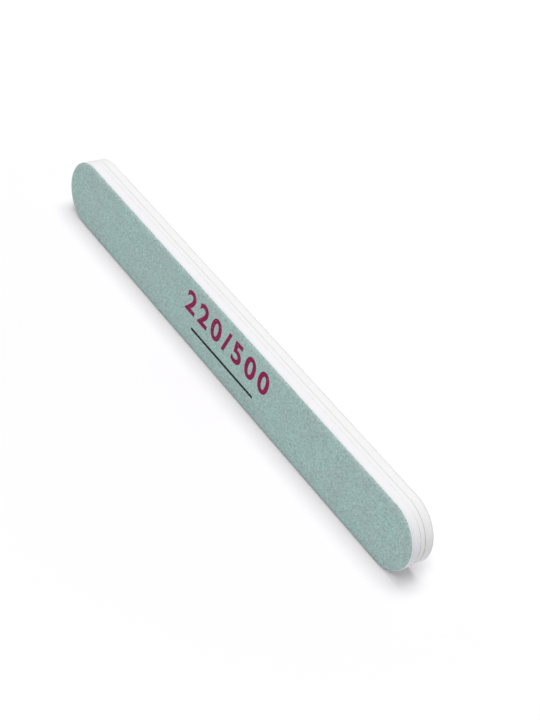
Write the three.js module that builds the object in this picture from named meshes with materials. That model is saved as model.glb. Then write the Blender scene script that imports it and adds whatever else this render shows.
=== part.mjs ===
// A hand nail buffer: a stiff core board between two foam pads, each faced with abrasive paper.
// All layers are glued together and die-cut to one outline, a bar with full half-round ends.
// Millimetres, +Z up. The buffer stands on a long edge: X runs along its length, Y goes through
// its thickness from the green face to the grey face, and Z runs across its width.
// The origin is the middle of the edge that it stands on.

import * as THREE from 'three';

// Outline of the die-cut bar
const LENGTH = 178;
const WIDTH = 22;

// Thickness of the layers on the green side, from the face to the core
const GREEN_GRIT_THICKNESS = 0.12;
const GREEN_PAPER_THICKNESS = 0.25;
const GREEN_PAPER_ADHESIVE_THICKNESS = 0.1;
const GREEN_FOAM_THICKNESS = 2.9;
const GREEN_CORE_ADHESIVE_THICKNESS = 0.12;

// Thickness of the core and of the layers on the grey side, from the face to the core
const CORE_THICKNESS = 1.5;
const GREY_GRIT_THICKNESS = 0.12;
const GREY_PAPER_THICKNESS = 0.25;
const GREY_PAPER_ADHESIVE_THICKNESS = 0.1;
const GREY_FOAM_THICKNESS = 2.9;
const GREY_CORE_ADHESIVE_THICKNESS = 0.12;

// The die presses the rim of each abrasive sheet down into its foam: how far in from the edge
// the sheet starts to roll over, how deep its rim ends up, and the power of the curve between
const GREEN_ROLL_WIDTH = 2.4;
const GREEN_ROLL_DROP = 0.4;
const GREY_ROLL_WIDTH = 2.4;
const GREY_ROLL_DROP = 0.4;
const ROLL_POWER = 3;

// The cut edge: adhesive stops short of the outline, and the foam draws in between its faces
const PAPER_ADHESIVE_SETBACK = 0.05;
const CORE_ADHESIVE_SETBACK = 0.2;
const FOAM_WAIST_DEPTH = 0.12;

// Facets of the curved stretches
const END_FACETS = 24;
const ROLL_FACETS = 5;
const WAIST_FACETS = 5;

// One side of the sandwich: its layers, and how its depths below the face turn into Y
const green = {
  gritThickness: GREEN_GRIT_THICKNESS,
  paperThickness: GREEN_PAPER_THICKNESS,
  paperAdhesiveThickness: GREEN_PAPER_ADHESIVE_THICKNESS,
  foamThickness: GREEN_FOAM_THICKNESS,
  coreAdhesiveThickness: GREEN_CORE_ADHESIVE_THICKNESS,
  rollWidth: GREEN_ROLL_WIDTH,
  rollDrop: GREEN_ROLL_DROP,
};
const grey = {
  gritThickness: GREY_GRIT_THICKNESS,
  paperThickness: GREY_PAPER_THICKNESS,
  paperAdhesiveThickness: GREY_PAPER_ADHESIVE_THICKNESS,
  foamThickness: GREY_FOAM_THICKNESS,
  coreAdhesiveThickness: GREY_CORE_ADHESIVE_THICKNESS,
  rollWidth: GREY_ROLL_WIDTH,
  rollDrop: GREY_ROLL_DROP,
};

// Depth below the side's own face at which each of its layers starts
for (const side of [green, grey]) {
  side.paperDepth = side.gritThickness;
  side.paperAdhesiveDepth = side.paperDepth + side.paperThickness;
  side.foamDepth = side.paperAdhesiveDepth + side.paperAdhesiveThickness;
  side.coreAdhesiveDepth = side.foamDepth + side.foamThickness;
  side.coreDepth = side.coreAdhesiveDepth + side.coreAdhesiveThickness;
}
const THICKNESS = green.coreDepth + CORE_THICKNESS + grey.coreDepth;

// A station is a ring of the outline: its inset from the die-cut edge and its place along Y.
// The green side counts depth towards +Y, the grey side towards -Y.
green.stationsAlongY = (profile) =>
  profile.map(({ inset, depth }) => ({ inset, y: depth - THICKNESS / 2 }));
grey.stationsAlongY = (profile) =>
  profile.map(({ inset, depth }) => ({ inset, y: THICKNESS / 2 - depth })).reverse();

// Points of the outline, drawn in by inset, in the plane of the face with its centre at zero
function outlinePoints(inset) {
  const endCentre = (LENGTH - WIDTH) / 2;
  const endRadius = WIDTH / 2 - inset;
  const quarter = Math.PI / 2;
  const bar = new THREE.Shape();
  bar.absarc(endCentre, 0, endRadius, -quarter, quarter, false);
  bar.absarc(-endCentre, 0, endRadius, quarter, 3 * quarter, false);
  return bar.getPoints(END_FACETS / 2);
}

// A closed solid through a stack of outline rings, with a flat cap on the first and the last
function loftRings(stations) {
  const rings = stations.map(({ inset }) => outlinePoints(inset));
  const ringSize = rings[0].length;
  const positions = [];
  rings.forEach((ring, index) => {
    for (const point of ring) positions.push(point.x, stations[index].y, point.y + WIDTH / 2);
  });

  const triangles = [];
  for (let ring = 0; ring < rings.length - 1; ring += 1) {
    for (let corner = 0; corner < ringSize; corner += 1) {
      const next = (corner + 1) % ringSize;
      const here = ring * ringSize;
      const there = here + ringSize;
      triangles.push(here + corner, there + corner, there + next);
      triangles.push(here + corner, there + next, here + next);
    }
  }

  const lastRing = (rings.length - 1) * ringSize;
  for (const [a, b, c] of THREE.ShapeUtils.triangulateShape(rings[0], [])) {
    triangles.push(a, b, c);
  }
  for (const [a, b, c] of THREE.ShapeUtils.triangulateShape(rings.at(-1), [])) {
    triangles.push(lastRing + a, lastRing + c, lastRing + b);
  }

  const geometry = new THREE.BufferGeometry();
  geometry.setAttribute('position', new THREE.Float32BufferAttribute(positions, 3));
  geometry.setIndex(triangles);
  geometry.computeVertexNormals();
  return geometry;
}

// Profile of a surface at a depth below the face, from its flat middle out over the rolled rim.
// All surfaces of a side share these steps, so the layers bed on each other without a gap.
function rolledSurface(side, depth) {
  const insets = [];
  for (let step = 0; step <= ROLL_FACETS; step += 1) {
    insets.push(THREE.MathUtils.lerp(side.rollWidth, PAPER_ADHESIVE_SETBACK, step / ROLL_FACETS));
  }
  insets.push(0);
  return insets.map((inset) => {
    const overTheRoll = 1 - inset / side.rollWidth;
    return { inset, depth: depth + side.rollDrop * overTheRoll ** ROLL_POWER };
  });
}

// A thin sheet of even thickness whose rim rolls over: the grit coat or the paper
function rolledSheet(side, depth, thickness) {
  const outer = rolledSurface(side, depth);
  const inner = rolledSurface(side, depth + thickness);
  return loftRings(side.stationsAlongY([...outer, ...inner.reverse()]));
}

// The adhesive under the paper follows the roll but stops short of the cut edge
function rolledAdhesive(side) {
  const outer = rolledSurface(side, side.paperAdhesiveDepth).slice(0, -1);
  const inner = rolledSurface(side, side.foamDepth).slice(0, -1);
  return loftRings(side.stationsAlongY([...outer, ...inner.reverse()]));
}

// A foam pad: rolled over under the paper, drawn in along its cut edge, flat on the core
function foamPad(side) {
  const top = rolledSurface(side, side.foamDepth);
  const rimDepth = top.at(-1).depth;
  const edge = [];
  for (let step = 1; step < WAIST_FACETS; step += 1) {
    const across = step / WAIST_FACETS;
    edge.push({
      inset: FOAM_WAIST_DEPTH * Math.sin(Math.PI * across),
      depth: THREE.MathUtils.lerp(rimDepth, side.coreAdhesiveDepth, across),
    });
  }
  const foot = { inset: 0, depth: side.coreAdhesiveDepth };
  return loftRings(side.stationsAlongY([...top, ...edge, foot]));
}

// The adhesive on the core is a flat film that stops short of the cut edge
function coreAdhesive(side) {
  return loftRings(side.stationsAlongY([
    { inset: CORE_ADHESIVE_SETBACK, depth: side.coreAdhesiveDepth },
    { inset: CORE_ADHESIVE_SETBACK, depth: side.coreDepth },
  ]));
}

// The core board fills the space between the two sides, cut square to the full outline
function coreBoard() {
  return loftRings(green.stationsAlongY([
    { inset: 0, depth: green.coreDepth },
    { inset: 0, depth: THICKNESS - grey.coreDepth },
  ]));
}

const buffer = new THREE.Group();

function addPiece(name, geometry, color, roughness) {
  const material = new THREE.MeshStandardMaterial({ color, roughness, metalness: 0 });
  const piece = new THREE.Mesh(geometry, material);
  piece.name = name;
  buffer.add(piece);
}

// Green side, from the face to the core
addPiece('green_grit_coat', rolledSheet(green, 0, GREEN_GRIT_THICKNESS), 0x97b0ac, 0.95);
addPiece(
  'green_backing_paper',
  rolledSheet(green, green.paperDepth, GREEN_PAPER_THICKNESS),
  0xe6e8ea,
  0.85,
);
addPiece('green_paper_adhesive', rolledAdhesive(green), 0xdcd8d8, 0.5);
addPiece('green_foam_pad', foamPad(green), 0xf0eff4, 0.9);
addPiece('green_core_adhesive', coreAdhesive(green), 0xcfc9cc, 0.5);

// Core
addPiece('core_board', coreBoard(), 0xf1f0e8, 0.55);

// Grey side, from the core to the face
addPiece('grey_core_adhesive', coreAdhesive(grey), 0xb9ab92, 0.5);
addPiece('grey_foam_pad', foamPad(grey), 0xf3f2ef, 0.9);
addPiece('grey_paper_adhesive', rolledAdhesive(grey), 0xdcd8d0, 0.5);
addPiece(
  'grey_backing_paper',
  rolledSheet(grey, grey.paperDepth, GREY_PAPER_THICKNESS),
  0xe4e5e6,
  0.85,
);
addPiece('grey_grit_coat', rolledSheet(grey, 0, GREY_GRIT_THICKNESS), 0x44464a, 0.95);

export default buffer;
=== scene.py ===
"""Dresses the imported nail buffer: every glued layer as a die-cut sheet, its finishes, and the stage."""

import math

import bmesh
import bpy
from bpy.props import (
    FloatProperty,
    FloatVectorProperty,
    PointerProperty,
    StringProperty,
)
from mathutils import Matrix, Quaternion, Vector


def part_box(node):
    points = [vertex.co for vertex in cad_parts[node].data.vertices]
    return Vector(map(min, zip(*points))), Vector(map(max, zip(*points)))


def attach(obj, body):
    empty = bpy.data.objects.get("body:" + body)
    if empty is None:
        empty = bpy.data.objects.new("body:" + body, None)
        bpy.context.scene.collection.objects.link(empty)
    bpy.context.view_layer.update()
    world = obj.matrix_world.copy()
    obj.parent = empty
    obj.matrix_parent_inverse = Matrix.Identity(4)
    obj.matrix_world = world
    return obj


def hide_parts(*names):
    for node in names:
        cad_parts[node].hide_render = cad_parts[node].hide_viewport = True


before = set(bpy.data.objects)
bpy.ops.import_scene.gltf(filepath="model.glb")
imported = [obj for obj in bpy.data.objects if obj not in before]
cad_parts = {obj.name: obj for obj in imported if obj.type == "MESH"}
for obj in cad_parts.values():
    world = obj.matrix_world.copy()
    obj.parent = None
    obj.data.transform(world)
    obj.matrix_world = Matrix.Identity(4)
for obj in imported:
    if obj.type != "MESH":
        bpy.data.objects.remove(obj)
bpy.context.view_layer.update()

bl_info = {
    "name": "Nail Buffer",
    "version": (1, 0, 0),
    "blender": (4, 5, 0),
    "location": "3D View > Sidebar > Nail Buffer",
    "description": "Models the layers of a foam nail buffer over its packed solids and lights them",
    "category": "Object",
}

BODY = "root"

# Steps of the shared outline: a quarter of a half-round end, and two rounds of cuts in a straight
# that leave 520 short edges in it, so that every layer has the same 1280 points around it
QUARTER_STEPS = 60
STRAIGHT_CUTS = (51, 9)
ROLL_STEPS = 8
ROLL_POWER = 3

# Points nearer to each other than this are merged: while a piece is shaped, and in the cut print
WELD = 1e-6
SLIVER = 5e-6

# What is picked in edit mode: edges that run along an axis, the long edges of the straights, faces
# that look along Y, and corners
PARALLEL = 0.99999
LONG_EDGE = 0.001
FLAT = 0.9
CORNER = math.radians(45)

# Faces that meet at less than this are shaded as one smooth surface
SMOOTH = math.radians(40)

# Y of a polygon's normal: up to the first two it lies in a thin rim or a wide wall, from the third
# on it lies in a face
RIM_LEAN = 0.3
WALL_LEAN = 0.4
FACE_LEAN = 0.5

# How near to a glue line the cut corners draw back at the two ends of the bar
SEAM_REACH = 0.0002

# Places of the sockets of a colour Mix node, whose names repeat
MIX_FACTOR = 0
MIX_FIRST = 6
MIX_SECOND = 7
MIX_RESULT = 2


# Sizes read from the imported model

BAR_LOW, BAR_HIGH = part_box("core_board")
LENGTH = BAR_HIGH.x - BAR_LOW.x
WIDTH = BAR_HIGH.z - BAR_LOW.z
HALF_STRAIGHT = (LENGTH - WIDTH) / 2


class Side:
    """The layers of one side, with each layer's outer face as if that side looked towards -Y."""

    def __init__(self, name, facing):
        self.name = name
        self.facing = facing
        self.coat = self.outer_face("grit_coat")
        self.paper = self.outer_face("backing_paper")
        self.film = self.outer_face("paper_adhesive")
        self.foam = self.outer_face("foam_pad")
        self.glue = self.outer_face("core_adhesive")
        self.core = BAR_LOW.y if facing < 0 else -BAR_HIGH.y
        low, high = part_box(self.node("grit_coat"))
        self.drop = (high.y - low.y) - (self.paper - self.coat)
        self.film_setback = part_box(self.node("paper_adhesive"))[0].x - BAR_LOW.x
        self.glue_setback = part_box(self.node("core_adhesive"))[0].x - BAR_LOW.x

    def node(self, layer):
        """The name of one of this side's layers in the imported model."""
        return f"{self.name}_{layer}"

    def outer_face(self, layer):
        """Y of a layer's outer face, mirrored for the side that looks towards +Y."""
        low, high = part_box(self.node(layer))
        return low.y if self.facing < 0 else -high.y


GREEN = Side("green", -1)
GREY = Side("grey", 1)
SIDES = (GREEN, GREY)


# Settings that a user would change

def length(name, description, default):
    """A length setting."""
    return FloatProperty(name=name, description=description, default=default, unit='LENGTH')


def lengths(name, description, default, subtype='XYZ'):
    """A setting of two or three lengths."""
    return FloatVectorProperty(
        name=name,
        description=description,
        size=len(default),
        default=default,
        subtype=subtype,
        unit='LENGTH',
    )


def colour(name, description, default):
    """A colour setting."""
    return FloatVectorProperty(
        name=name,
        description=description,
        size=3,
        default=default,
        min=0.0,
        max=1.0,
        subtype='COLOR',
    )


class NailBufferSizes(bpy.types.PropertyGroup):
    """Shapes of the die-cut edge, the grain and the print"""

    roll_width: length("Roll width", "How far in from the edge the faces start to roll over", 0.0024)
    foam_waist: length("Foam waist", "How far the cut foam draws in between its two faces", 0.00012)
    green_setback: length("Green setback", "How far the green grain stops short of the cut edge", 0.00006)
    grey_setback: length("Grey setback", "How far the grey grain stops short of the cut edge", 0.0002)
    end_setback: length("End setback", "How much further the grain stops short at the two ends", 0.00012)
    paper_setback: length("Paper setback", "How far the papers stop short of the cut edge", 0.00003)
    foot_gap: length("Foot gap", "How far the soft layers stay clear of the floor", 0.00005)
    paper_round: length(
        "Paper rounding", "Radius of the outer corner of the papers at the cut edge", 0.00018
    )
    seam_opening: length(
        "Seam opening", "How far the foam draws back from the glue at the two ends", 0.0001
    )
    glue_reach: length(
        "Pale glue reach", "How much nearer to the cut edge the pale glue line comes", 0.00008
    )
    glue_end_reach: length(
        "Glue end reach", "How much nearer to the cut edge the glue comes at the two ends", 0.0001
    )
    film_depth: length(
        "Grey film depth", "How much deeper inside the film behind the grey paper ends", 0.00005
    )
    seam_round: length("Seam rounding", "Radius of the cut corners on both sides of a glue line", 0.00006)
    edge_relief: length("Edge relief", "Depth of the unevenness of the cut edges", 0.00005)
    glue_ripple: length("Glue ripple", "How unevenly the glue lines end inside their grooves", 0.00016)
    grain_depth: length("Grain depth", "Height of the grain that is modelled on the two faces", 0.00004)
    green_grain: length("Green grain size", "Spacing of the clusters of grain on the green face", 0.00034)
    grey_grain: length("Grey grain size", "Spacing of the clusters of grain on the grey face", 0.0003)
    numerals: StringProperty(
        name="Numerals",
        description="Plain grit numbers that are printed on the green face",
        default="220/500",
    )
    numeral_height: length("Numeral height", "Height of the printed numbers", 0.0078)
    numeral_place: lengths(
        "Numeral place",
        "Middle of the printed numbers along the bar and up its width",
        (0.0012, 0.0142),
    )
    rule_size: lengths(
        "Rule size",
        "Length and height of the plain rule under the numbers",
        (0.0325, 0.0009),
    )
    rule_place: lengths(
        "Rule place",
        "Middle of the rule along the bar and up its width",
        (0.0012, 0.0066),
    )
    ink_height: length("Ink height", "How far the ink stands on the grain", 0.000007)


class NailBufferFinishes(bpy.types.PropertyGroup):
    """Colours of the layers"""

    green: colour("Green grain", "Main colour of the green face", (0.396, 0.583, 0.546))
    green_grey: colour("Green patches", "Greyer patches of the green face", (0.404, 0.54, 0.518))
    grey: colour("Grey grain", "Main colour of the grey face", (0.064, 0.069, 0.078))
    grey_patch: colour("Grey patches", "Warmer patches of the grey face", (0.078, 0.079, 0.084))
    paper: colour("Paper", "Backing paper at its cut edge", (0.9, 0.905, 0.92))
    cool_foam: colour("Cool foam", "Foam behind the green face", (0.868, 0.865, 0.894))
    warm_foam: colour("Warm foam", "Foam behind the grey face", (0.873, 0.872, 0.871))
    core: colour("Core", "Stiff board in the middle", (0.859, 0.856, 0.857))
    film: colour("Film", "Adhesive film under the papers", (0.84, 0.83, 0.83))
    pale_glue: colour("Pale glue", "Glue line behind the cool foam", (0.87, 0.85, 0.88))
    amber_glue: colour("Amber glue", "Glue line behind the warm foam", (0.745, 0.695, 0.595))
    numeral_ink: colour("Numeral ink", "Ink of the printed numbers", (0.265, 0.006, 0.073))
    rule_ink: colour("Rule ink", "Ink of the plain rule", (0.013, 0.014, 0.015))


class NailBufferStage(bpy.types.PropertyGroup):
    """Camera, lights and floor"""

    camera_place: lengths(
        "Camera place",
        "Where the camera stands",
        (0.24408, -0.24235, 0.29091),
        'TRANSLATION',
    )
    camera_aim: lengths(
        "Camera aim",
        "Point on the floor that the camera looks at",
        (0.00027, 0.01664, 0.0),
        'TRANSLATION',
    )
    camera_roll: FloatProperty(
        name="Camera roll",
        description="Turn of the camera about its own line of sight",
        default=math.radians(17.163),
        subtype='ANGLE',
    )
    lens: FloatProperty(
        name="Lens",
        description="Focal length of the camera in millimetres",
        default=75.2068,
        unit='CAMERA',
    )
    dome: FloatProperty(name="Dome strength", description="Even light from all around", default=0.36)
    overhead_place: lengths(
        "Overhead place",
        "Where the light above the bar stands",
        (-0.1, 0.088, 1.28),
        'TRANSLATION',
    )
    overhead_width: length("Overhead width", "Width of the light above the bar", 0.736)
    overhead: FloatProperty(
        name="Overhead power",
        description="Power of the light above the bar",
        default=8.3,
        unit='POWER',
    )
    front_place: lengths(
        "Front place",
        "Where the light in front of the bar stands",
        (0.25, -0.6, 1.34),
        'TRANSLATION',
    )
    front_width: length("Front width", "Width of the light in front of the bar", 0.62)
    front: FloatProperty(
        name="Front power",
        description="Power of the light in front of the bar",
        default=5.3,
        unit='POWER',
    )
    floor_tone: colour(
        "Floor tone",
        "How much of the light the floor gives back",
        (0.942, 0.937, 0.955),
    )
    floor_lift: colour(
        "Floor lift",
        "Brightness that the floor adds for the camera alone, up to white",
        (0.01, 0.01, 0.01),
    )
    # Painted light: the floor's lift for the camera grows this many times behind the bar, covering the
    # bar's shadow there
    shadow_fill_gain: FloatProperty(
        name="Lift gain",
        description="How many times stronger the lift is behind the bar",
        default=13.0,
    )
    lift_reach: length("Lift reach", "Distance from the bar past which the floor fades to white", 0.065)


class NailBufferSettings(bpy.types.PropertyGroup):
    """All settings of the nail buffer"""

    sizes: PointerProperty(type=NailBufferSizes)
    finishes: PointerProperty(type=NailBufferFinishes)
    stage: PointerProperty(type=NailBufferStage)


# Selecting and shaping

def piece_settings(context):
    """The sizes and the finishes that the pieces are made with."""
    settings = context.scene.nail_buffer
    return settings.sizes, settings.finishes


def clear_selection():
    """Leaves edit mode and deselects every object."""
    if bpy.context.object and bpy.context.object.mode != 'OBJECT':
        bpy.ops.object.mode_set(mode='OBJECT')
    bpy.ops.object.select_all(action='DESELECT')


def settle():
    """Moves the place, turn and scale of the active object into its mesh."""
    bpy.ops.object.transform_apply(location=True, rotation=True, scale=True)


def pick(piece, mode, wanted):
    """Selects the vertices, edges or faces of the piece in edit mode that the test asks for."""
    bpy.ops.mesh.select_mode(type=mode)
    bpy.ops.mesh.select_all(action='DESELECT')
    mesh = bmesh.from_edit_mesh(piece.data)
    elements = {'VERT': mesh.verts, 'EDGE': mesh.edges, 'FACE': mesh.faces}[mode]
    chosen = [element for element in elements if wanted(element)]
    if not chosen:
        raise RuntimeError(f"{piece.name}: nothing to select")
    for element in chosen:
        element.select_set(True)
    mesh.select_flush_mode()
    bmesh.update_edit_mesh(piece.data)


def along(edge, axis):
    """How closely an edge runs along an axis, from 0 to 1."""
    run = edge.verts[1].co - edge.verts[0].co
    return abs(run[axis]) / run.length if run.length else 0.0


def start_bar(name, outer, inner, inset=0.0):
    """Starts a layer: a block between two Y, cut to the bar's outline, left in edit mode."""
    clear_selection()
    bpy.ops.mesh.primitive_cube_add(
        size=1,
        location=(0, (outer + inner) / 2, WIDTH / 2),
        scale=(LENGTH - 2 * inset, inner - outer, WIDTH - 2 * inset),
    )
    piece = bpy.context.object
    piece.name = name
    piece.data.name = name
    settle()
    bpy.ops.object.mode_set(mode='EDIT')
    pick(piece, 'EDGE', lambda edge: along(edge, 1) > PARALLEL)
    bpy.ops.mesh.bevel(
        offset=WIDTH / 2 - inset,
        segments=QUARTER_STEPS,
        profile=0.5,
        affect='EDGES',
        clamp_overlap=False,
    )
    bpy.ops.mesh.select_all(action='SELECT')
    bpy.ops.mesh.remove_doubles(threshold=WELD)

    def in_straight(edge):
        return along(edge, 0) > PARALLEL and edge.calc_length() > LONG_EDGE

    for cuts in STRAIGHT_CUTS:
        pick(piece, 'EDGE', in_straight)
        bpy.ops.mesh.subdivide(number_cuts=cuts)
    return piece


def rim_depth(side, roll_width, inset):
    """How far a face has rolled down at an inset from the cut edge."""
    return side.drop * (1 - inset / roll_width) ** ROLL_POWER


def roll_cap(piece, looks, side, roll_width, start_inset=0.0):
    """Rolls the rim of the cap that looks towards -Y or +Y, and leaves its middle selected."""
    pick(piece, 'FACE', lambda face: face.normal.y * looks > FLAT)
    inset = start_inset
    for step in range(1, ROLL_STEPS + 1):
        next_inset = roll_width * step / ROLL_STEPS
        rise = rim_depth(side, roll_width, inset) - rim_depth(side, roll_width, next_inset)
        bpy.ops.mesh.inset(thickness=next_inset - inset, depth=rise if looks < 0 else -rise)
        inset = next_inset


def fill_middle(piece, roll_width):
    """Turns the flat middle of the front cap into an even grid, fine enough to carry the grain."""
    bpy.ops.mesh.dissolve_faces()
    bpy.ops.mesh.delete(type='ONLY_FACE')
    pick(piece, 'EDGE', lambda edge: edge.is_boundary)
    bpy.ops.mesh.select_mode(type='VERT')
    radius = WIDTH / 2 - roll_width
    diagonal = radius * math.sin(math.radians(45))
    corner = Vector((HALF_STRAIGHT + diagonal, 0, WIDTH / 2 - diagonal))
    mesh = bmesh.from_edit_mesh(piece.data)
    rim = [vertex for vertex in mesh.verts if vertex.select]
    first = min(rim, key=lambda vertex: (vertex.co - corner).xz.length)
    mesh.select_history.clear()
    mesh.select_history.add(first)
    bmesh.update_edit_mesh(piece.data)
    bpy.ops.mesh.fill_grid(span=QUARTER_STEPS, offset=0)


def cut_rows(piece, cuts):
    """Cuts the wall of a bar into rows that run around it."""
    pick(piece, 'EDGE', lambda edge: along(edge, 1) > PARALLEL)
    bpy.ops.mesh.subdivide(number_cuts=cuts)


def round_ring(piece, place, radius):
    """Rounds the corner ring of a bar's wall at one Y."""
    def on_ring(edge):
        level = all(abs(vertex.co.y - place) < WELD for vertex in edge.verts)
        return level and edge.calc_face_angle(0) > CORNER

    pick(piece, 'EDGE', on_ring)
    bpy.ops.mesh.bevel(offset=radius, segments=2, profile=0.5, affect='EDGES')


def points_on(piece, wanted):
    """Indices of the points of all faces that the test asks for."""
    return sorted({index for face in piece.data.polygons if wanted(face) for index in face.vertices})


def press_relief(piece, points, size, depth, sharpness=1.0, level=1.0):
    """Presses a random relief into the given points, as geometry, with lumps of one size."""
    name = "relief"
    group = piece.vertex_groups.new(name=name)
    group.add(points, 1.0, 'REPLACE')
    texture = bpy.data.textures.new(name, 'CLOUDS')
    texture.noise_scale = size
    texture.noise_depth = 2
    texture.contrast = sharpness
    relief = piece.modifiers.new(name, 'DISPLACE')
    relief.texture = texture
    relief.texture_coords = 'LOCAL'
    relief.direction = 'NORMAL'
    relief.vertex_group = name
    relief.mid_level = level
    relief.strength = depth
    bpy.ops.object.modifier_apply(modifier=name)
    piece.vertex_groups.clear()
    bpy.data.textures.remove(texture)


def finish_piece(piece, side, material, node):
    """Turns the piece to its side, smooths it, paints it and hands it to the frame."""
    if side and side.facing > 0:
        bpy.ops.object.mode_set(mode='EDIT')
        bpy.ops.mesh.select_all(action='SELECT')
        bpy.ops.transform.rotate(value=math.pi, orient_axis='Z', center_override=(0, 0, 0))
        bpy.ops.object.mode_set(mode='OBJECT')
    bpy.ops.object.shade_smooth_by_angle(angle=SMOOTH)
    piece.data.materials.append(material)
    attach(piece, BODY)
    if node:
        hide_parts(node)


# Shader building blocks

def add_node(tree, kind, sockets=None, **settings):
    """Adds a node, sets its options, and sets or links its inputs by name or place."""
    node = tree.nodes.new(kind)
    for key, value in settings.items():
        setattr(node, key, value)
    for key, value in (sockets or {}).items():
        if isinstance(value, bpy.types.NodeSocket):
            tree.links.new(value, node.inputs[key])
        else:
            node.inputs[key].default_value = value
    return node


def math_node(tree, operation, first, second=0.0, clamp=False):
    """The result of a Math node."""
    sockets = {0: first, 1: second}
    node = add_node(tree, 'ShaderNodeMath', sockets, operation=operation, use_clamp=clamp)
    return node.outputs[0]


def remap(tree, value, low, high, to_low=0.0, to_high=1.0):
    """A value moved from one range to another, and held inside it."""
    sockets = {
        "Value": value,
        "From Min": low,
        "From Max": high,
        "To Min": to_low,
        "To Max": to_high,
    }
    return add_node(tree, 'ShaderNodeMapRange', sockets, clamp=True).outputs[0]


def noise(tree, place, scale, detail, roughness):
    """The value of a Noise Texture."""
    sockets = {"Vector": place, "Scale": scale, "Detail": detail, "Roughness": roughness}
    return add_node(tree, 'ShaderNodeTexNoise', sockets).outputs[0]


def axis_of(tree, place, axis):
    """One coordinate of a place."""
    return add_node(tree, 'ShaderNodeSeparateXYZ', {0: place}).outputs[axis]


def mix_colours(tree, factor, first, second, blend='MIX'):
    """Two colours mixed by a factor."""
    sockets = {MIX_FACTOR: factor, MIX_FIRST: first, MIX_SECOND: second}
    node = add_node(tree, 'ShaderNodeMix', sockets, data_type='RGBA', blend_type=blend)
    return node.outputs[MIX_RESULT]


def shade(value, factor=1.0):
    """A colour setting, as it is or made lighter or darker, for a colour socket."""
    return (value[0] * factor, value[1] * factor, value[2] * factor, 1.0)


def new_group(name, inputs, outputs):
    """An empty shader node group that takes a Vector and some values, and its two ends."""
    tree = bpy.data.node_groups.new(name, 'ShaderNodeTree')
    tree.interface.new_socket("Vector", in_out='INPUT', socket_type='NodeSocketVector')
    for socket, default in inputs.items():
        item = tree.interface.new_socket(socket, in_out='INPUT', socket_type='NodeSocketFloat')
        item.default_value = default
    for socket in outputs:
        tree.interface.new_socket(socket, in_out='OUTPUT', socket_type='NodeSocketFloat')
    given = add_node(tree, 'NodeGroupInput').outputs
    result = add_node(tree, 'NodeGroupOutput').inputs
    return tree, given, result


def grit_grain_group():
    """Abrasive grain in resin: a tone for each grain, soft mottles, wide patches and a height."""
    name = "Grit Grain"
    if name in bpy.data.node_groups:
        return bpy.data.node_groups[name]
    tree, given, result = new_group(
        name,
        {"Grain Size": 0.0004, "Patch Size": 0.008},
        ["Grain", "Mottle", "Patch", "Height"],
    )
    place = given["Vector"]
    grains = math_node(tree, 'DIVIDE', 1.0, given["Grain Size"])
    mottles = math_node(tree, 'DIVIDE', 0.5, given["Grain Size"])
    patches = math_node(tree, 'DIVIDE', 1.0, given["Patch Size"])
    cells = add_node(tree, 'ShaderNodeTexVoronoi', {"Vector": place, "Scale": grains})
    tone = add_node(tree, 'ShaderNodeSeparateColor', {"Color": cells.outputs["Color"]})
    mottle = noise(tree, place, mottles, detail=2.0, roughness=0.55)
    patch = noise(tree, place, patches, detail=3.0, roughness=0.6)
    crown = remap(tree, cells.outputs["Distance"], 0.0, 0.75, to_low=1.0, to_high=0.0)
    soft = remap(tree, mottle, 0.3, 0.7)
    crown_height = math_node(tree, 'MULTIPLY', crown, 0.55)
    soft_height = math_node(tree, 'MULTIPLY', soft, 0.45)
    tree.links.new(tone.outputs[0], result["Grain"])
    tree.links.new(soft, result["Mottle"])
    tree.links.new(remap(tree, patch, 0.32, 0.68), result["Patch"])
    tree.links.new(math_node(tree, 'ADD', crown_height, soft_height), result["Height"])
    return tree


def cut_edge_group():
    """A die-cut edge: a soft tone, small open pores and a height, stretched across the cut."""
    name = "Cut Edge"
    if name in bpy.data.node_groups:
        return bpy.data.node_groups[name]
    tree, given, result = new_group(
        name,
        {"Pore Size": 0.0003, "Tone Size": 0.003, "Stretch": 1.0},
        ["Tone", "Pores", "Height"],
    )
    across = math_node(tree, 'DIVIDE', 1.0, given["Stretch"])
    squeeze = add_node(tree, 'ShaderNodeCombineXYZ', {0: 1.0, 1: across, 2: 1.0})
    sockets = {0: given["Vector"], 1: squeeze.outputs[0]}
    place = add_node(tree, 'ShaderNodeVectorMath', sockets, operation='MULTIPLY').outputs[0]
    pores = math_node(tree, 'DIVIDE', 1.0, given["Pore Size"])
    tones = math_node(tree, 'DIVIDE', 1.0, given["Tone Size"])
    cells = add_node(tree, 'ShaderNodeTexVoronoi', {"Vector": place, "Scale": pores})
    fine = noise(tree, place, pores, detail=2.0, roughness=0.6)
    wide = noise(tree, place, tones, detail=4.0, roughness=0.6)
    open_pores = remap(tree, cells.outputs["Distance"], 0.12, 0.34, to_low=1.0, to_high=0.0)
    pits = math_node(tree, 'MULTIPLY', open_pores, remap(tree, fine, 0.45, 0.62))
    pit_depth = math_node(tree, 'MULTIPLY', pits, 0.6)
    tree.links.new(remap(tree, wide, 0.3, 0.7), result["Tone"])
    tree.links.new(pits, result["Pores"])
    tree.links.new(math_node(tree, 'SUBTRACT', fine, pit_depth), result["Height"])
    return tree


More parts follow.
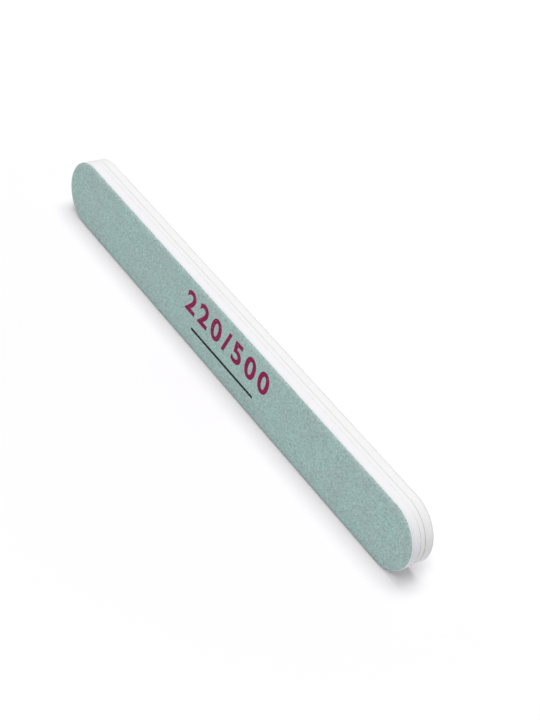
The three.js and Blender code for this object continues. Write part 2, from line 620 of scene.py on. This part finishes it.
def rim_band_group():
    """How near a point of a face is to the die-cut outline, from 0 inside the band to 1 at the cut."""
    name = "Rim Band"
    if name in bpy.data.node_groups:
        return bpy.data.node_groups[name]
    tree, given, result = new_group(
        name,
        {"Half Straight": HALF_STRAIGHT, "Half Width": WIDTH / 2, "Band": 0.001},
        ["Mask"],
    )
    along_bar = math_node(tree, 'ABSOLUTE', axis_of(tree, given["Vector"], "X"))
    past_straight = math_node(tree, 'SUBTRACT', along_bar, given["Half Straight"])
    past_straight = math_node(tree, 'MAXIMUM', past_straight, 0.0)
    height = axis_of(tree, given["Vector"], "Z")
    across = math_node(tree, 'SUBTRACT', height, given["Half Width"])
    flat = add_node(tree, 'ShaderNodeCombineXYZ', {0: past_straight, 1: across, 2: 0.0})
    reach = add_node(tree, 'ShaderNodeVectorMath', {0: flat.outputs[0]}, operation='LENGTH')
    inset = math_node(tree, 'SUBTRACT', given["Half Width"], reach.outputs["Value"])
    inside = math_node(tree, 'DIVIDE', inset, given["Band"])
    tree.links.new(math_node(tree, 'SUBTRACT', 1.0, inside, clamp=True), result["Mask"])
    return tree


def place_group(tree, group, sockets):
    """Places a node group in a material with its own values, and gives its results."""
    return add_node(tree, 'ShaderNodeGroup', sockets, node_tree=group).outputs


def new_material(name, specular):
    """A material with its node tree, its shader and its Object coordinates."""
    material = bpy.data.materials.new(name)
    material.use_nodes = True
    tree = material.node_tree
    shader = tree.nodes["Principled BSDF"]
    shader.inputs["Specular IOR Level"].default_value = specular
    place = add_node(tree, 'ShaderNodeTexCoord').outputs["Object"]
    return material, tree, shader, place


def wire_shader(tree, shader, base, rough, height, strength, distance):
    """Links a finish's base colour, roughness and fine relief to its shader."""
    sockets = {"Height": height, "Strength": strength, "Distance": distance}
    bump = add_node(tree, 'ShaderNodeBump', sockets)
    tree.links.new(base, shader.inputs["Base Color"])
    tree.links.new(rough, shader.inputs["Roughness"])
    tree.links.new(bump.outputs["Normal"], shader.inputs["Normal"])


# Finishes

# Spacing of the patches on the coats and in the ink
COAT_PATCHES = 0.007
INK_PATCHES = 0.004

# The band along the rim that is paled by a painted highlight and some wear, and the heights between which
# the painted contact shade on the foot fades
HIGHLIGHT_AND_WEAR_BAND = 0.0018
FOOT_SHADE_HEIGHTS = (0.0001, 0.0008)

# Spacing of the tones of a cut edge, and of the clots and tones of glue
CUT_TONES = 0.004
GLUE_CLOTS = 0.0006
GLUE_TONES = 0.0025

# How far past the straights the glue reaches its darkest tone
END_DARKENING_SPAN = 0.006


def grit_material(name, main, patch_colour, paper, grain_size, contrast, fleck):
    """Abrasive grain in matt resin, paler along the upper rim with a painted highlight and some wear, and
    darkened at its foot with painted contact shade.
    """
    material, tree, shader, place = new_material(name, specular=0.25)
    values = {"Vector": place, "Grain Size": grain_size, "Patch Size": COAT_PATCHES}
    grain = place_group(tree, grit_grain_group(), values)
    rim = place_group(tree, rim_band_group(), {"Vector": place, "Band": HIGHLIGHT_AND_WEAR_BAND})

    base = mix_colours(tree, grain["Patch"], shade(main), shade(patch_colour))
    low = 1.0 - contrast
    high = 1.0 + contrast
    tone = remap(tree, grain["Grain"], 0.0, 1.0, low, high)
    mottle = remap(tree, grain["Mottle"], 0.0, 1.0, low, high)
    both = math_node(tree, 'MULTIPLY', tone, mottle)
    tones = add_node(tree, 'ShaderNodeCombineColor', {0: both, 1: both, 2: both})
    toned = mix_colours(tree, 1.0, base, tones.outputs[0], 'MULTIPLY')
    bright = remap(tree, grain["Grain"], 0.96, 1.0, to_high=0.5)
    dark = remap(tree, grain["Grain"], 0.06, 0.14, to_low=0.45, to_high=0.0)
    lit = mix_colours(tree, bright, toned, shade(patch_colour, fleck))
    flecked = mix_colours(tree, dark, lit, shade(main, 0.55))

    height = axis_of(tree, place, "Z")
    # Paler towards the upper rim: a painted highlight of the light from above on the rolled rim, with
    # some wear of the grain
    upper = remap(tree, height, 0.55 * WIDTH, 0.85 * WIDTH)
    reach = math_node(tree, 'MULTIPLY', math_node(tree, 'POWER', rim["Mask"], 1.5), upper)
    grain_share = remap(tree, grain["Grain"], 0.0, 1.0, to_low=0.05, to_high=0.27)
    highlight_and_wear = math_node(tree, 'MULTIPLY', reach, grain_share)
    paler = mix_colours(tree, highlight_and_wear, flecked, shade(paper))
    # Darker near the floor: painted contact shade at the foot of the coat
    foot_shade = remap(tree, height, *FOOT_SHADE_HEIGHTS, to_low=0.7, to_high=0.0)
    shaded_at_foot = mix_colours(tree, foot_shade, paler, shade(main, 0.35))

    # What the coat throws onto the white floor and layers is kept grey, so that it doesn't tint them
    level = sum(main) / 3
    bounced = add_node(tree, 'ShaderNodeLightPath').outputs["Is Diffuse Ray"]
    neutral = mix_colours(tree, bounced, shaded_at_foot, (level, level, level, 1.0))
    rough = remap(tree, grain["Grain"], 0.0, 1.0, to_low=0.72, to_high=0.95)
    wire_shader(tree, shader, neutral, rough, grain["Height"], strength=0.5, distance=0.00006)
    return material


def cut_material(name, main, pore_size, stretch, pore_shade, roughness, relief, specular=0.3):
    """A cut edge of paper, foam or board, with pores or fibres in its own colour, and painted shade
    darkening the pits of its pores.
    """
    material, tree, shader, place = new_material(name, specular)
    values = {"Vector": place, "Pore Size": pore_size, "Tone Size": CUT_TONES, "Stretch": stretch}
    edge = place_group(tree, cut_edge_group(), values)
    base = mix_colours(tree, edge["Tone"], shade(main, 0.985), shade(main, 1.01))
    # Darker in the pits of the pores: painted shade in the hollows
    pored = mix_colours(tree, edge["Pores"], base, shade(main, pore_shade))
    rough = remap(tree, edge["Tone"], 0.0, 1.0, roughness - 0.06, roughness + 0.06)
    wire_shader(tree, shader, pored, rough, edge["Height"], strength=0.4, distance=relief)
    return material


def glue_material(name, main, dark, end_shade):
    """Dried glue, darker in random patches of dust, and darker towards the two ends of the bar."""
    material, tree, shader, place = new_material(name, specular=0.4)
    values = {"Vector": place, "Pore Size": GLUE_CLOTS, "Tone Size": GLUE_TONES, "Stretch": 1.0}
    edge = place_group(tree, cut_edge_group(), values)
    dirty = remap(tree, edge["Tone"], 0.55, 0.95)
    base = mix_colours(tree, dirty, shade(main), shade(main, dark))
    # Darker towards the two ends of the bar
    reach = math_node(tree, 'ABSOLUTE', axis_of(tree, place, "X"))
    at_end = remap(tree, reach, HALF_STRAIGHT, HALF_STRAIGHT + END_DARKENING_SPAN)
    darker_at_ends = mix_colours(tree, at_end, base, shade(main, end_shade))
    rough = remap(tree, edge["Tone"], 0.0, 1.0, to_low=0.35, to_high=0.6)
    wire_shader(tree, shader, darker_at_ends, rough, edge["Height"], strength=0.3, distance=0.00005)
    return material


def ink_material(name, ink, coat, grain_size):
    """Thin printing ink that the tallest grains break through."""
    material, tree, shader, place = new_material(name, specular=0.12)
    values = {"Vector": place, "Grain Size": grain_size, "Patch Size": INK_PATCHES}
    grain = place_group(tree, grit_grain_group(), values)
    base = mix_colours(tree, grain["Patch"], shade(ink, 0.92), shade(ink, 1.12))
    bare = remap(tree, grain["Grain"], 0.92, 1.0, to_high=0.25)
    broken = mix_colours(tree, bare, base, shade(coat))
    rough = remap(tree, grain["Grain"], 0.0, 1.0, to_low=0.5, to_high=0.75)
    wire_shader(tree, shader, broken, rough, grain["Height"], strength=0.3, distance=0.00004)
    return material


# Pieces

def rolled_sheet(name, side, outer, inner, roll_width, inset=0.0):
    """A thin sheet between two faces whose rim follows the roll, left in edit mode."""
    rim_drop = rim_depth(side, roll_width, inset)
    piece = start_bar(name, outer + rim_drop, inner + rim_drop, inset)
    roll_cap(piece, 1, side, roll_width, inset)
    roll_cap(piece, -1, side, roll_width, inset)
    return piece


def clear_foot(piece, gap, end_setback=0.0):
    """Narrows a finished layer from below, to clear the floor, and from its two ends, in object mode."""
    piece.location.z = gap
    piece.scale.z = 1 - gap / WIDTH
    piece.scale.x = 1 - 2 * end_setback / LENGTH
    settle()


def open_ends(piece, wanted, opening):
    """Draws the points that the test asks for back from the two ends of the bar, in edit mode."""
    pick(piece, 'VERT', wanted)
    share = 1 - 2 * opening / LENGTH
    bpy.ops.transform.resize(value=(share, 1, 1), center_override=(0, 0, 0))


class NAILBUFFER_OT_grit_coats(bpy.types.Operator):
    """Models the two coats of abrasive grain, with their rolled rims and their grain"""

    bl_idname = "nail_buffer.grit_coats"
    bl_label = "Grit coats"
    bl_options = {'REGISTER', 'UNDO'}

    GRAIN_LUMPS = 0.0007
    RIM_LUMPS = 0.0004

    def execute(self, context):
        sizes, finishes = piece_settings(context)
        materials = {
            GREEN: grit_material(
                "green_grit",
                finishes.green,
                finishes.green_grey,
                finishes.paper,
                sizes.green_grain,
                contrast=0.12,
                fleck=1.4,
            ),
            GREY: grit_material(
                "grey_grit",
                finishes.grey,
                finishes.grey_patch,
                finishes.paper,
                sizes.grey_grain,
                contrast=0.2,
                fleck=2.6,
            ),
        }
        for side in SIDES:
            piece = rolled_sheet(
                f"{side.name}_grit",
                side,
                side.coat,
                side.paper,
                sizes.roll_width,
                sizes.green_setback if side is GREEN else sizes.grey_setback,
            )
            fill_middle(piece, sizes.roll_width)
            bpy.ops.object.mode_set(mode='OBJECT')
            face = points_on(piece, lambda polygon: polygon.normal.y < -FACE_LEAN)
            press_relief(piece, face, self.GRAIN_LUMPS, sizes.grain_depth)
            rim = points_on(piece, lambda polygon: abs(polygon.normal.y) < RIM_LEAN)
            press_relief(piece, rim, self.RIM_LUMPS, sizes.edge_relief)
            clear_foot(piece, sizes.foot_gap, sizes.end_setback)
            finish_piece(piece, side, materials[side], side.node("grit_coat"))
        return {'FINISHED'}


class NAILBUFFER_OT_backing_papers(bpy.types.Operator):
    """Models the two backing papers, whose cut edges show as white rims"""

    bl_idname = "nail_buffer.backing_papers"
    bl_label = "Backing papers"
    bl_options = {'REGISTER', 'UNDO'}

    RIM_LUMPS = 0.0006

    def execute(self, context):
        sizes, finishes = piece_settings(context)
        material = cut_material(
            "white_paper",
            finishes.paper,
            pore_size=0.00015,
            stretch=0.5,
            pore_shade=0.94,
            roughness=0.85,
            relief=0.00003,
        )
        for side in SIDES:
            piece = rolled_sheet(
                f"{side.name}_paper",
                side,
                side.paper,
                side.film,
                sizes.roll_width,
                sizes.paper_setback,
            )
            cut_rows(piece, 1)
            rim_drop = rim_depth(side, sizes.roll_width, sizes.paper_setback)
            round_ring(piece, side.paper + rim_drop, sizes.paper_round)
            bpy.ops.object.mode_set(mode='OBJECT')
            rim = points_on(piece, lambda polygon: abs(polygon.normal.y) < RIM_LEAN)
            press_relief(piece, rim, self.RIM_LUMPS, sizes.edge_relief / 2)
            clear_foot(piece, sizes.foot_gap)
            finish_piece(piece, side, material, side.node("backing_paper"))
        return {'FINISHED'}


class NAILBUFFER_OT_paper_films(bpy.types.Operator):
    """Models the two adhesive films that hold the papers on the foam"""

    bl_idname = "nail_buffer.paper_films"
    bl_label = "Paper films"
    bl_options = {'REGISTER', 'UNDO'}

    def execute(self, context):
        sizes, finishes = piece_settings(context)
        material = glue_material("film_adhesive", finishes.film, dark=0.9, end_shade=0.8)
        for side in SIDES:
            piece = rolled_sheet(
                f"{side.name}_film",
                side,
                side.film,
                side.foam,
                sizes.roll_width,
                side.film_setback + (sizes.film_depth if side is GREY else 0.0),
            )
            bpy.ops.object.mode_set(mode='OBJECT')
            clear_foot(piece, sizes.foot_gap)
            finish_piece(piece, side, material, side.node("paper_adhesive"))
        return {'FINISHED'}


class NAILBUFFER_OT_foam_pads(bpy.types.Operator):
    """Models the two foam pads, drawn in along their cut edges and rounded at the glue lines"""

    bl_idname = "nail_buffer.foam_pads"
    bl_label = "Foam pads"
    bl_options = {'REGISTER', 'UNDO'}

    ROWS = 13
    WIDE_LUMPS = 0.0025
    FINE_LUMPS = 0.0006

    def execute(self, context):
        sizes, finishes = piece_settings(context)
        slots = {GREEN: "lavender_white_foam", GREY: "warm_white_foam"}
        colours = {GREEN: finishes.cool_foam, GREY: finishes.warm_foam}
        for side in SIDES:
            rim = side.foam + side.drop
            piece = start_bar(f"{side.name}_foam", rim, side.glue)
            cut_rows(piece, self.ROWS)
            roll_cap(piece, -1, side, sizes.roll_width)
            for row in range(1, self.ROWS + 1):
                share = row / (self.ROWS + 1)
                place = rim + (side.glue - rim) * share
                pick(piece, 'VERT', lambda vertex: abs(vertex.co.y - place) < WELD)
                inset = sizes.foam_waist * math.sin(math.pi * share)
                bpy.ops.transform.shrink_fatten(value=-inset)
            round_ring(piece, side.glue, sizes.seam_round)
            if side is GREEN:
                foot = side.glue - SEAM_REACH
                open_ends(piece, lambda vertex: vertex.co.y > foot, sizes.seam_opening)
            bpy.ops.object.mode_set(mode='OBJECT')
            wall = points_on(piece, lambda polygon: abs(polygon.normal.y) < WALL_LEAN)
            press_relief(piece, wall, self.WIDE_LUMPS, sizes.edge_relief)
            press_relief(piece, wall, self.FINE_LUMPS, sizes.edge_relief / 2)
            clear_foot(piece, sizes.foot_gap)
            material = cut_material(
                slots[side],
                colours[side],
                pore_size=0.00026,
                stretch=1.0,
                pore_shade=0.88,
                roughness=0.9,
                relief=0.00006,
            )
            finish_piece(piece, side, material, side.node("foam_pad"))
        return {'FINISHED'}


class NAILBUFFER_OT_core_glues(bpy.types.Operator):
    """Models the two glue lines on the core, which end unevenly inside their grooves"""

    bl_idname = "nail_buffer.core_glues"
    bl_label = "Core glue lines"
    bl_options = {'REGISTER', 'UNDO'}

    RIPPLE_LENGTH = 0.003

    def execute(self, context):
        sizes, finishes = piece_settings(context)
        slots = {GREEN: "pale_glue", GREY: "amber_glue"}
        colours = {GREEN: finishes.pale_glue, GREY: finishes.amber_glue}
        end_shades = {GREEN: 0.82, GREY: 0.64}
        for side in SIDES:
            setback = side.glue_setback - (sizes.glue_reach if side is GREEN else 0.0)
            piece = start_bar(f"{side.name}_glue", side.glue, side.core, setback)
            cut_rows(piece, 1)
            bpy.ops.object.mode_set(mode='OBJECT')
            piece.scale.x = 1 + 2 * sizes.glue_end_reach / LENGTH
            settle()
            middle = (side.glue + side.core) / 2
            rim = [v.index for v in piece.data.vertices if abs(v.co.y - middle) < WELD]
            depth = sizes.glue_ripple
            press_relief(piece, rim, self.RIPPLE_LENGTH, depth, sharpness=1.5, level=0.5)
            material = glue_material(
                slots[side],
                colours[side],
                dark=0.7,
                end_shade=end_shades[side],
            )
            finish_piece(piece, side, material, side.node("core_adhesive"))
        return {'FINISHED'}


class NAILBUFFER_OT_core_board(bpy.types.Operator):
    """Models the stiff board in the middle, with its rounded cut corners"""

    bl_idname = "nail_buffer.core_board"
    bl_label = "Core board"
    bl_options = {'REGISTER', 'UNDO'}

    ROWS = 7
    LUMPS = 0.0012

    def execute(self, context):
        sizes, finishes = piece_settings(context)
        piece = start_bar("core", BAR_LOW.y, BAR_HIGH.y)
        cut_rows(piece, self.ROWS)
        round_ring(piece, BAR_LOW.y, sizes.seam_round)
        round_ring(piece, BAR_HIGH.y, sizes.seam_round)
        corner = BAR_HIGH.y - SEAM_REACH
        open_ends(piece, lambda vertex: vertex.co.y > corner, sizes.seam_opening)
        bpy.ops.object.mode_set(mode='OBJECT')
        wall = points_on(piece, lambda polygon: abs(polygon.normal.y) < WALL_LEAN)
        press_relief(piece, wall, self.LUMPS, sizes.edge_relief / 2)
        material = cut_material(
            "core_plastic",
            finishes.core,
            pore_size=0.00025,
            stretch=6.0,
            pore_shade=0.96,
            roughness=0.5,
            relief=0.00002,
            specular=0.4,
        )
        finish_piece(piece, None, material, "core_board")
        return {'FINISHED'}


def lay_ink(piece, ink_height, pitch):
    """Cuts a flat print finely, lays it on the green grain and gives it a thickness."""
    bpy.ops.object.mode_set(mode='EDIT')
    bpy.ops.mesh.select_mode(type='VERT')
    bpy.ops.mesh.select_all(action='SELECT')
    bpy.ops.mesh.remove_doubles(threshold=WELD)
    points = [vertex.co.copy() for vertex in bmesh.from_edit_mesh(piece.data).verts]
    for axis in (0, 2):
        low = min(point[axis] for point in points)
        high = max(point[axis] for point in points)
        normal = [0.0, 0.0, 0.0]
        normal[axis] = 1.0
        for cut in range(1, int((high - low) / pitch) + 1):
            middle = [0.0, 0.0, 0.0]
            middle[axis] = low + cut * pitch
            bpy.ops.mesh.select_all(action='SELECT')
            bpy.ops.mesh.bisect(plane_co=middle, plane_no=normal, threshold=WELD)
    bpy.ops.mesh.select_all(action='SELECT')
    bpy.ops.mesh.remove_doubles(threshold=SLIVER)
    bpy.ops.mesh.select_all(action='SELECT')
    bpy.ops.mesh.dissolve_degenerate(threshold=SLIVER)
    bpy.ops.mesh.select_all(action='SELECT')
    bpy.ops.mesh.delete_loose()
    bpy.ops.object.mode_set(mode='OBJECT')
    wrap = piece.modifiers.new("lie_on_grain", 'SHRINKWRAP')
    wrap.target = bpy.data.objects["green_grit"]
    wrap.wrap_method = 'PROJECT'
    wrap.use_project_y = True
    wrap.use_positive_direction = True
    wrap.use_negative_direction = True
    wrap.offset = ink_height
    bpy.ops.object.modifier_apply(modifier=wrap.name)
    film = piece.modifiers.new("film", 'SOLIDIFY')
    film.thickness = 2 * ink_height
    film.offset = -1.0
    bpy.ops.object.modifier_apply(modifier=film.name)


class NAILBUFFER_OT_print(bpy.types.Operator):
    """Prints plain grit numbers and a rule on the green face, thin enough to follow its grain"""

    bl_idname = "nail_buffer.print"
    bl_label = "Print"
    bl_options = {'REGISTER', 'UNDO'}

    CLEARANCE = 0.001
    PITCH = 0.0003
    BOLDNESS = 0.03
    SPACING = 1.3
    CURVE_STEPS = 8

    def execute(self, context):
        sizes, finishes = piece_settings(context)
        front = GREEN.coat - self.CLEARANCE

        clear_selection()
        bpy.ops.object.text_add(rotation=(math.pi / 2, 0, 0))
        text = context.object
        text.data.body = sizes.numerals
        text.data.align_x = 'CENTER'
        text.data.align_y = 'CENTER'
        text.data.offset = self.BOLDNESS
        text.data.space_character = self.SPACING
        text.data.resolution_u = self.CURVE_STEPS
        bpy.ops.object.convert(target='MESH')
        numerals = context.object
        numerals.name = "print_numerals"
        numerals.data.name = "print_numerals"
        settle()
        heights = [vertex.co.z for vertex in numerals.data.vertices]
        tall = max(heights) - min(heights)
        scale = sizes.numeral_height / tall
        numerals.scale = (scale, scale, scale)
        numerals.location = (sizes.numeral_place[0], front, sizes.numeral_place[1])
        settle()
        lay_ink(numerals, sizes.ink_height, self.PITCH)
        ink = finishes.numeral_ink
        material = ink_material("numeral_ink", ink, finishes.green, sizes.green_grain)
        finish_piece(numerals, None, material, None)

        clear_selection()
        bpy.ops.mesh.primitive_plane_add(
            size=1,
            location=(sizes.rule_place[0], front, sizes.rule_place[1]),
            rotation=(math.pi / 2, 0, 0),
        )
        rule = context.object
        rule.scale = (sizes.rule_size[0], sizes.rule_size[1], 1)
        rule.name = "print_rule"
        rule.data.name = "print_rule"
        settle()
        lay_ink(rule, sizes.ink_height, self.PITCH)
        ink = finishes.rule_ink
        material = ink_material("rule_ink", ink, finishes.green, sizes.green_grain)
        finish_piece(rule, None, material, None)
        return {'FINISHED'}


def seen_directly(tree):
    """1 for what the camera, a reflection or a clear material sees, and 0 for light on a surface."""
    rays = add_node(tree, 'ShaderNodeLightPath').outputs
    mirrored = math_node(tree, 'MAXIMUM', rays["Is Glossy Ray"], rays["Is Transmission Ray"])
    return math_node(tree, 'MAXIMUM', rays["Is Camera Ray"], mirrored)


class NAILBUFFER_OT_stage(bpy.types.Operator):
    """Sets the white floor, the soft lights and the camera"""

    bl_idname = "nail_buffer.stage"
    bl_label = "Stage"
    bl_options = {'REGISTER', 'UNDO'}

    FLOOR_RADIUS = 3.0
    FLOOR_POINTS = 96
    FLOOR_DEPTH = 0.00001
    SENSOR_WIDTH = 36.0
    CLIP_START = 0.01

    # Y between which the floor's lift grows by its gain: painted light that covers the shadow the bar
    # casts on the floor behind it
    SHADOW_FILL_SPAN = (0.004, 0.012)

    def execute(self, context):
        stage = context.scene.nail_buffer.stage
        self.add_floor(stage)
        self.add_world(context.scene, stage)
        self.add_light(
            "overhead_light",
            Vector(stage.overhead_place),
            stage.overhead_width,
            stage.overhead,
        )
        self.add_light("front_light", Vector(stage.front_place), stage.front_width, stage.front)
        self.add_camera(context.scene, stage)
        context.scene.view_settings.view_transform = 'Standard'
        return {'FINISHED'}

    def add_floor(self, stage):
        """A wide white floor that keeps the shadow of the bar in front of it, with painted light covering
        its shadow behind it.
        """
        clear_selection()
        bpy.ops.mesh.primitive_circle_add(
            vertices=self.FLOOR_POINTS,
            radius=self.FLOOR_RADIUS,
            fill_type='NGON',
            location=(0, 0, -self.FLOOR_DEPTH),
        )
        floor = bpy.context.object
        floor.name = "floor"
        settle()
        material, tree, shader, place = new_material("white_floor", specular=0.0)
        shader.inputs["Base Color"].default_value = shade(stage.floor_tone)
        shader.inputs["Roughness"].default_value = 1.0
        shader.inputs["Emission Color"].default_value = shade(stage.floor_lift)
        depth = axis_of(tree, place, "Y")
        # Painted light behind the bar, over the shadow that the bar casts there
        behind = remap(tree, depth, *self.SHADOW_FILL_SPAN, to_low=1.0, to_high=stage.shadow_fill_gain)
        away = add_node(tree, 'ShaderNodeVectorMath', {0: place}, operation='LENGTH')
        share = math_node(tree, 'DIVIDE', away.outputs["Value"], stage.lift_reach)
        fade = math_node(tree, 'POWER', share, 2.0)
        to_white = math_node(tree, 'MINIMUM', fade, 1.0 / stage.floor_lift[0])
        lift = math_node(tree, 'MAXIMUM', behind, to_white)
        lift = math_node(tree, 'MULTIPLY', lift, seen_directly(tree))
        tree.links.new(lift, shader.inputs["Emission Strength"])
        floor.data.materials.append(material)

    def add_world(self, scene, stage):
        """Even light from all around that looks white from anywhere."""
        world = bpy.data.worlds.new("white_room")
        world.use_nodes = True
        tree = world.node_tree
        background = tree.nodes["Background"]
        background.inputs["Color"].default_value = (1.0, 1.0, 1.0, 1.0)
        strength = remap(tree, seen_directly(tree), 0.0, 1.0, to_low=stage.dome)
        tree.links.new(strength, background.inputs["Strength"])
        scene.world = world

    def add_light(self, name, place, width, power):
        """A soft round light that is turned to the middle of the bar."""
        clear_selection()
        aim = Vector((0, 0, WIDTH / 2)) - place
        turn = aim.to_track_quat('-Z', 'Y').to_euler()
        bpy.ops.object.light_add(type='AREA', location=place, rotation=turn)
        light = bpy.context.object
        light.name = name
        light.data.shape = 'DISK'
        light.data.size = width
        light.data.energy = power
        light.visible_camera = False

    def add_camera(self, scene, stage):
        """The camera of the photograph."""
        clear_selection()
        place = Vector(stage.camera_place)
        look = (Vector(stage.camera_aim) - place).to_track_quat('-Z', 'Y')
        turn = look @ Quaternion((0, 0, 1), stage.camera_roll)
        bpy.ops.object.camera_add(location=place, rotation=turn.to_euler())
        camera = bpy.context.object
        camera.name = "photo_camera"
        camera.data.lens = stage.lens
        camera.data.sensor_width = self.SENSOR_WIDTH
        camera.data.clip_start = self.CLIP_START
        scene.camera = camera


# Sidebar

class NAILBUFFER_PT_layers(bpy.types.Panel):
    """Lists the pieces of the nail buffer and their settings"""

    bl_label = "Nail Buffer"
    bl_idname = "NAILBUFFER_PT_layers"
    bl_space_type = 'VIEW_3D'
    bl_region_type = 'UI'
    bl_category = "Nail Buffer"

    def draw(self, context):
        settings = context.scene.nail_buffer
        for operator in OPERATORS:
            self.layout.operator(operator.bl_idname)
        for group in (settings.sizes, settings.finishes, settings.stage):
            box = self.layout.box()
            for key in group.__annotations__:
                box.prop(group, key)


OPERATORS = (
    NAILBUFFER_OT_core_board,
    NAILBUFFER_OT_core_glues,
    NAILBUFFER_OT_foam_pads,
    NAILBUFFER_OT_paper_films,
    NAILBUFFER_OT_backing_papers,
    NAILBUFFER_OT_grit_coats,
    NAILBUFFER_OT_print,
    NAILBUFFER_OT_stage,
)
GROUPS = (NailBufferSizes, NailBufferFinishes, NailBufferStage, NailBufferSettings)


def register():
    for cls in (*GROUPS, *OPERATORS, NAILBUFFER_PT_layers):
        bpy.utils.register_class(cls)
    bpy.types.Scene.nail_buffer = PointerProperty(type=NailBufferSettings)


def unregister():
    del bpy.types.Scene.nail_buffer
    for cls in reversed((*GROUPS, *OPERATORS, NAILBUFFER_PT_layers)):
        bpy.utils.unregister_class(cls)


def main():
    register()
    bpy.ops.nail_buffer.core_board()
    bpy.ops.nail_buffer.core_glues()
    bpy.ops.nail_buffer.foam_pads()
    bpy.ops.nail_buffer.paper_films()
    bpy.ops.nail_buffer.backing_papers()
    bpy.ops.nail_buffer.grit_coats()
    bpy.ops.nail_buffer.print()
    bpy.ops.nail_buffer.stage()
    clear_selection()
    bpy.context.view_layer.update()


if __name__ == "__main__":
    main()
